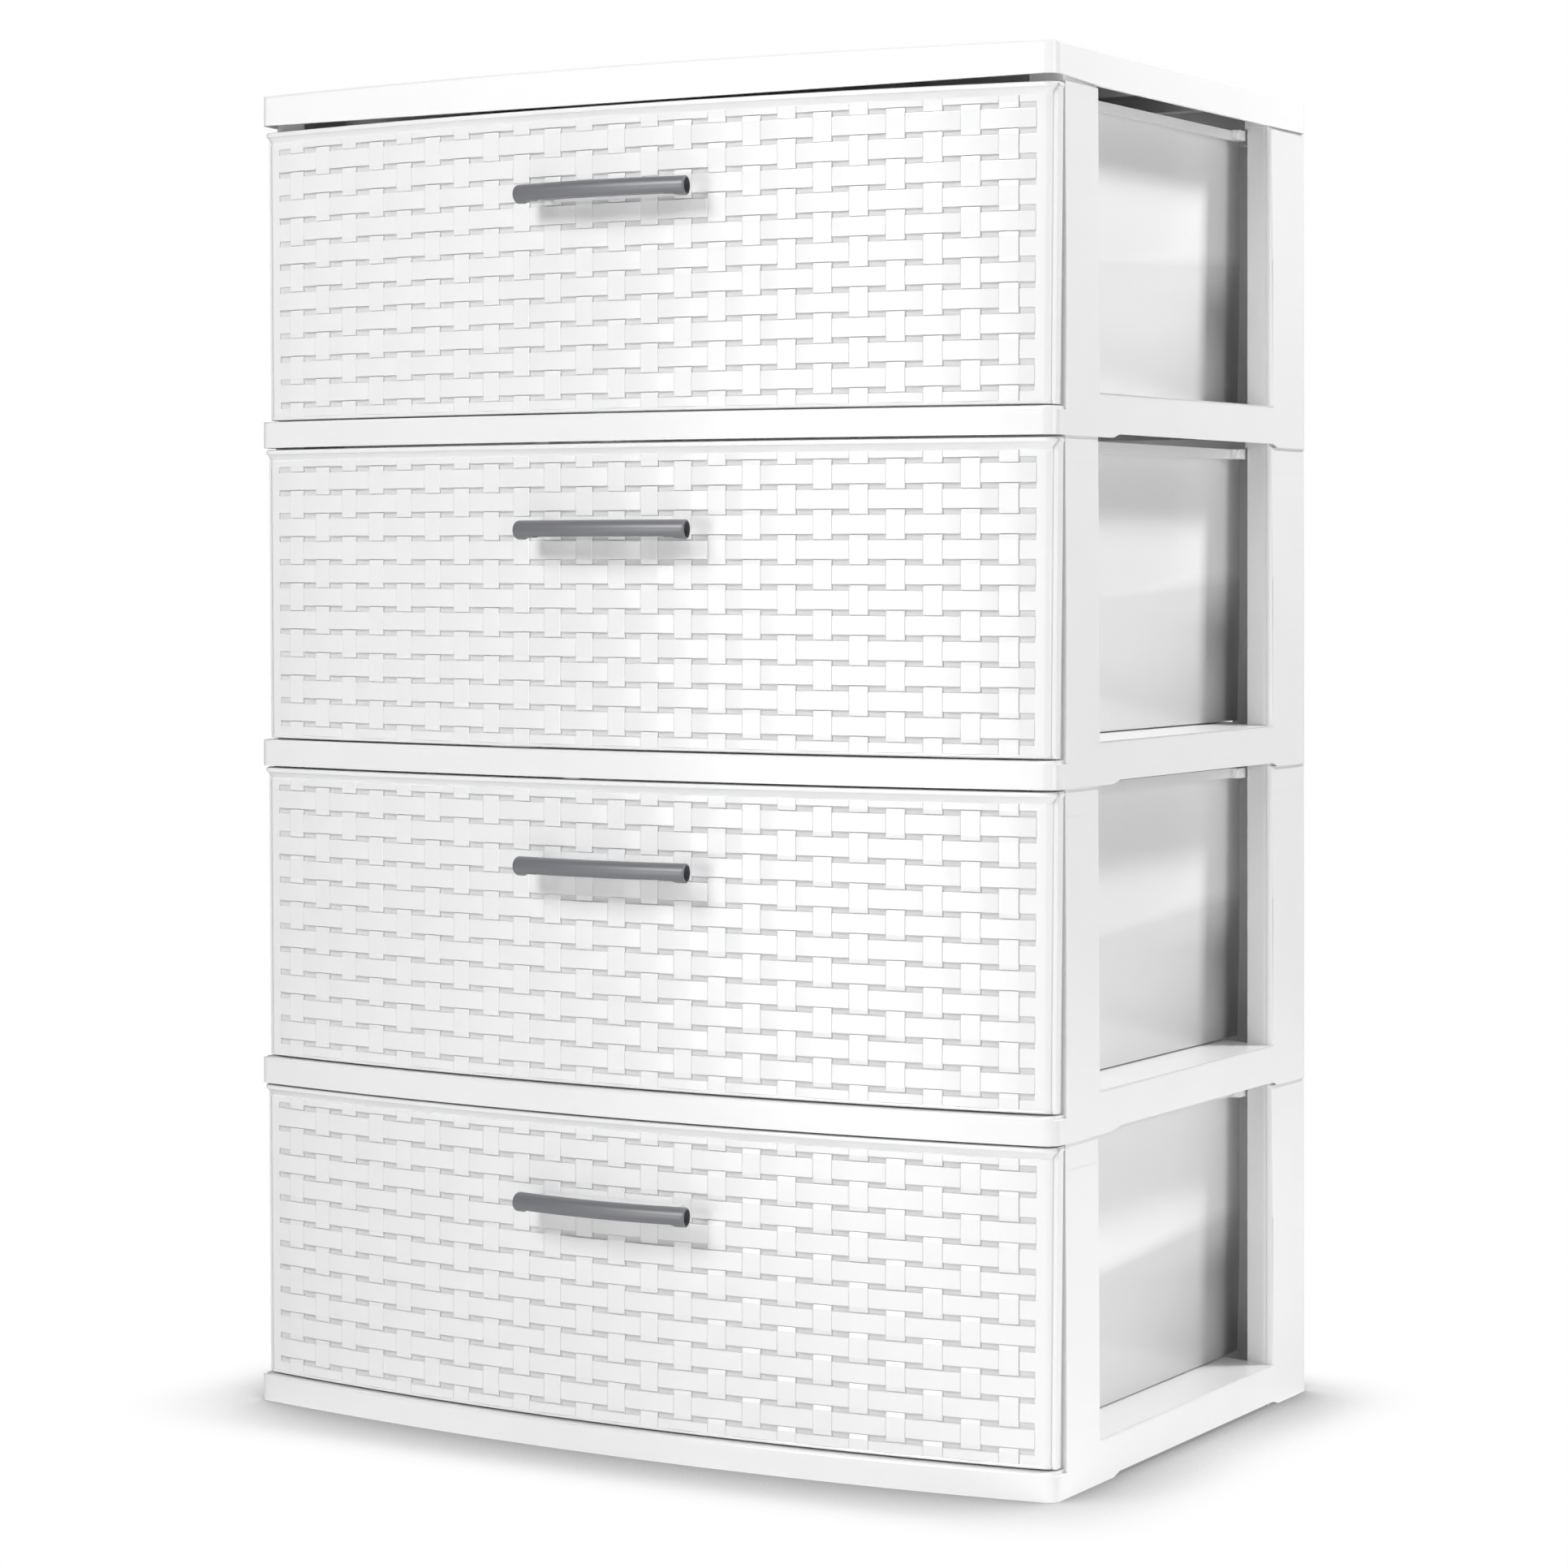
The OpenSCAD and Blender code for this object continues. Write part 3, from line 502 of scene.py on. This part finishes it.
def front_rows():
    """The front's upright section as (height, level) all round it, with None for the weave's levels."""
    rows = [(FRONT_LOW, -FACE_WALL), (FRONT_LOW, -0.5 * MM), (FRONT_LOW + 0.4 * MM, 0.3 * MM),
            (FRONT_LOW + 1.2 * MM, 0.5 * MM), (FRONT_LOW + 1.8 * MM, 0.2 * MM), (FRONT_LOW + 2.2 * MM, None),
            (FRONT_LOW + 4.5 * MM, None)]
    for row in range(GAP_ROWS):
        middle = FIRST_GAP + row * BAND_PITCH
        low, high = middle - GAP_H / 2, middle + GAP_H / 2
        slope = STEP + TOP_SLOPE * (1 - row / (GAP_ROWS - 1))
        rows += [(low - slope - EDGE_SOFT - EDGE_HOLD, None), (low - slope - EDGE_SOFT, None)]
        rows += [(low - slope, None), (low + slope / 2, None), (low + GROOVE_END, None)]
        rows += [(high - GROOVE_END, None)] + [(h, None) for h in both_sides_of(high)]
        rows += [(high + EDGE_SOFT, None), (high + EDGE_SOFT + EDGE_HOLD, None)]
        if row < GAP_ROWS - 1:
            rows += [(high + d, None) for d in BAND_ROWS]
    rows += [(RIM_LOW - 0.2 * MM, None), (RIM_LOW + 0.1 * MM, -0.9 * MM), (RIM_LOW + 0.9 * MM, -0.6 * MM),
             (RIM_LOW + 1.9 * MM, 0.3 * MM), (RIM_LOW + 3.0 * MM, 1.2 * MM), (RIM_LOW + 3.9 * MM, 2.0 * MM),
             (RIM_LOW + 4.2 * MM, 2.6 * MM), (RIM_LOW + 4.9 * MM, RIM_PROUD),
             (FRONT_HIGH - 1.1 * MM, RIM_PROUD), (FRONT_HIGH - 0.4 * MM, 2.5 * MM), (FRONT_HIGH, 1.8 * MM),
             (FRONT_HIGH, -FACE_WALL + 0.5 * MM), (FRONT_HIGH - 0.5 * MM, -FACE_WALL),
             (FRONT_LOW, -FACE_WALL)]
    return rows


def woven_front(base):
    """One drawer front as a bmesh, with base as the height of its level."""
    columns, rows = front_columns(), front_rows()
    shape = bmesh.new()
    recess = shape.verts.layers.float.new("recess")
    bmesh.ops.create_grid(shape, x_segments=len(columns) - 1, y_segments=len(rows) - 1, size=0.5)
    for vert in shape.verts:
        x, y, out_x, out_y, along, share, proud = columns[round((vert.co.x + 0.5) * (len(columns) - 1))]
        height, level = rows[round((vert.co.y + 0.5) * (len(rows) - 1))]
        if level is None:
            level = weave_level(along, height)
            # Gap floors are marked for the painted shade that darkens them.
            vert[recess] = 1.0 if level < -GAP_DEPTH / 2 else 0.0
        outer = level > -FACE_WALL + BACK_NEAR
        on_side = abs(along) > WEAVE_HALF + STEP and abs(x) > FACE_HALF - SIDE_NEAR
        if outer and proud:
            level = max(level, proud)
        elif outer and on_side and level < -0.1 * MM:
            level = 0.0
        taper = FOOT_TAPER * share * (FRONT_HIGH - height) / (FRONT_HIGH - FRONT_LOW)
        vert.co = (x + out_x * level - math.copysign(taper, x), y + out_y * level, base + height)
    bmesh.ops.remove_doubles(shape, verts=shape.verts, dist=2 * WELD)
    rim = [e for e in shape.edges if e.is_boundary]
    bmesh.ops.holes_fill(shape, edges=rim, sides=0)
    bmesh.ops.recalc_face_normals(shape, faces=shape.faces)
    return shape


level_bases = {n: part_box(f"frame_unit_{n}")[0][2] for n in LEVELS}
for level in LEVELS:
    front = new_piece(f"drawer_{level}.woven_front", woven_front(level_bases[level]), white_plastic)
    keep_flat(front)
    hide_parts(f"drawer_{level}")
    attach(front, f"pull_out_{level}")


# ---- Drawer boxes ----
# The plain box behind each front, in the same moulding: its walls, floor, rim, runners and stop
# ears are the CAD solid's, less the front.
FRONT_NEAR = 0.05 * MM


def in_front(vert):
    """Whether a vertex of the drawer's solid belongs to its bowed front or to the front's sides."""
    reach = math.hypot(vert.co.x, vert.co.y - face_centre_y)
    side_x = FACE_HALF - FACE_WALL - FOOT_TAPER - SIDE_NEAR
    return reach > face_r - FACE_WALL - FRONT_NEAR or abs(vert.co.x) > side_x


for level in LEVELS:
    shape = cad_copy(f"drawer_{level}")
    front_faces = [f for f in shape.faces if all(in_front(v) for v in f.verts)]
    bmesh.ops.delete(shape, geom=front_faces, context="FACES")
    box = new_piece(f"drawer_{level}.box", shape, white_plastic)
    keep_flat(box)
    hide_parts(f"drawer_{level}")
    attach(box, f"pull_out_{level}")


# ---- Handle seats ----
# A shallow white bracket moulded on each front. It carries the bar and is open below, so that
# fingertips hook behind it.
HANDLE_HALF = 58.5 * MM
HANDLE_DIA = 11.5 * MM
HANDLE_ARCH = 5.2 * MM
HANDLE_HEIGHT = 146.2 * MM
HANDLE_FLAT = 1.7 * MM
SEAT_INSET = 12 * MM
SEAT_DROP = 1 * MM           # how far the seat's top lies below the bar's
SEAT_WALL = 1.8 * MM
SEAT_CORNER_R = 1.4 * MM
SEAT_STEPS = 24
CORNER = math.radians(60)
handle_axis_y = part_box("handle_1")[0][1] + HANDLE_DIA / 2
handle_r = (HANDLE_HALF ** 2 + HANDLE_ARCH ** 2) / (2 * HANDLE_ARCH)


def handle_line(x):
    """Where the bar's axis runs, as y for an x."""
    return handle_axis_y + handle_r - math.sqrt(handle_r ** 2 - x ** 2)


for level in LEVELS:
    top = level_bases[level] + HANDLE_HEIGHT + HANDLE_DIA / 2 - SEAT_DROP
    low = level_bases[level] + HANDLE_HEIGHT - HANDLE_DIA / 2 + HANDLE_FLAT
    half = HANDLE_HALF - SEAT_INSET
    shape = bmesh.new()
    bmesh.ops.create_grid(shape, x_segments=SEAT_STEPS, y_segments=1, size=1.0)
    for vert in shape.verts:
        x = vert.co.x * half
        face_y = face_centre_y - math.sqrt((face_r - FACE_WALL / 2) ** 2 - x ** 2)
        vert.co = (x, face_y if vert.co.y > 0 else handle_line(x) + HANDLE_DIA / 4, top)
    walls = bmesh.ops.extrude_edge_only(shape, edges=[e for e in shape.edges if e.is_boundary])
    for vert in (g for g in walls["geom"] if isinstance(g, bmesh.types.BMVert)):
        vert.co.z = low
    bmesh.ops.recalc_face_normals(shape, faces=shape.faces)
    corners = [e for e in shape.edges if len(e.link_faces) == 2 and e.calc_face_angle() > CORNER]
    bmesh.ops.bevel(shape, geom=corners, offset=SEAT_CORNER_R, offset_type="OFFSET", affect="EDGES",
                    segments=3, profile=0.5, clamp_overlap=True, material=-1)
    seat = new_piece(f"drawer_{level}.handle_seat", shape, white_plastic)
    wall = seat.modifiers.new("wall", "SOLIDIFY")
    wall.thickness = SEAT_WALL
    wall.offset = -1
    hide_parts(f"drawer_{level}")
    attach(seat, f"pull_out_{level}")


# ---- Handles ----
# A grey bar, moulded in one piece and pegged to its seat. It arches a little outwards, its hollow
# ends are full round, and its underside is flat between them.
HANDLE_FOOT = 6.5 * MM
HANDLE_END_R = 0.7 * MM
BORE_RING = 0.35 * MM        # the rim round each end's bore
BORE_DRAFT = 0.05 * MM
BORE_DEPTH = 14 * MM
BAR_SIDES = 32
BAR_STEPS = 52
GREY_ROUGHNESS = 0.4
GREY_GRAIN_DEPTH = 0.015 * MM
# Injection-moulded ABS, tinted mid grey all through, with a fine spark finish that leaves a satin
# sheen along the bar.
grey_plastic = moulded_plastic("grey_abs_moulded", "#707175", "#6B6C70", "#6B6C70",
                               GREY_ROUGHNESS, GREY_GRAIN_DEPTH)

for level in LEVELS:
    height = level_bases[level] + HANDLE_HEIGHT
    turn = 2 * math.asin(HANDLE_HALF / handle_r)
    shape = bmesh.new()
    bmesh.ops.create_circle(shape, cap_ends=True, segments=BAR_SIDES, radius=HANDLE_DIA / 2)
    bmesh.ops.rotate(shape, verts=shape.verts, cent=(0, 0, 0),
                     matrix=Matrix.Rotation(math.radians(90), 3, "Y"))
    bmesh.ops.translate(shape, verts=shape.verts, vec=(0, handle_axis_y, height))
    centre = (0, handle_axis_y + handle_r, height)
    bmesh.ops.rotate(shape, verts=shape.verts, cent=centre,
                     matrix=Matrix.Rotation(-turn / 2, 3, "Z"))
    bmesh.ops.spin(shape, geom=shape.faces[:], cent=centre, axis=(0, 0, 1), angle=turn, steps=BAR_STEPS,
                   use_duplicate=False)
    bmesh.ops.remove_doubles(shape, verts=shape.verts, dist=WELD)
    bmesh.ops.recalc_face_normals(shape, faces=shape.faces)
    ends = [e for e in shape.edges if len(e.link_faces) == 2 and e.calc_face_angle() > CORNER]
    bmesh.ops.bevel(shape, geom=ends, offset=HANDLE_END_R, offset_type="OFFSET", affect="EDGES", segments=3,
                    profile=0.5, clamp_overlap=True, material=-1)
    flat = height - HANDLE_DIA / 2 + HANDLE_FLAT
    for vert in shape.verts:
        if abs(vert.co.x) < HANDLE_HALF - HANDLE_FOOT and vert.co.z < flat:
            vert.co.z = flat
    caps = [f for f in shape.faces if len(f.verts) > 8]
    bmesh.ops.inset_individual(shape, faces=caps, thickness=BORE_RING, depth=0)
    bmesh.ops.inset_individual(shape, faces=caps, thickness=BORE_DRAFT, depth=-BORE_DEPTH)
    bar = new_piece(f"handle_{level}.bar", shape, grey_plastic)
    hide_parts(f"handle_{level}")
    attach(bar, f"pull_out_{level}")


# ---- Size ----
# The visual model's box: the lowest and highest corners of all that it shows, but for the floor.
low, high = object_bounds()
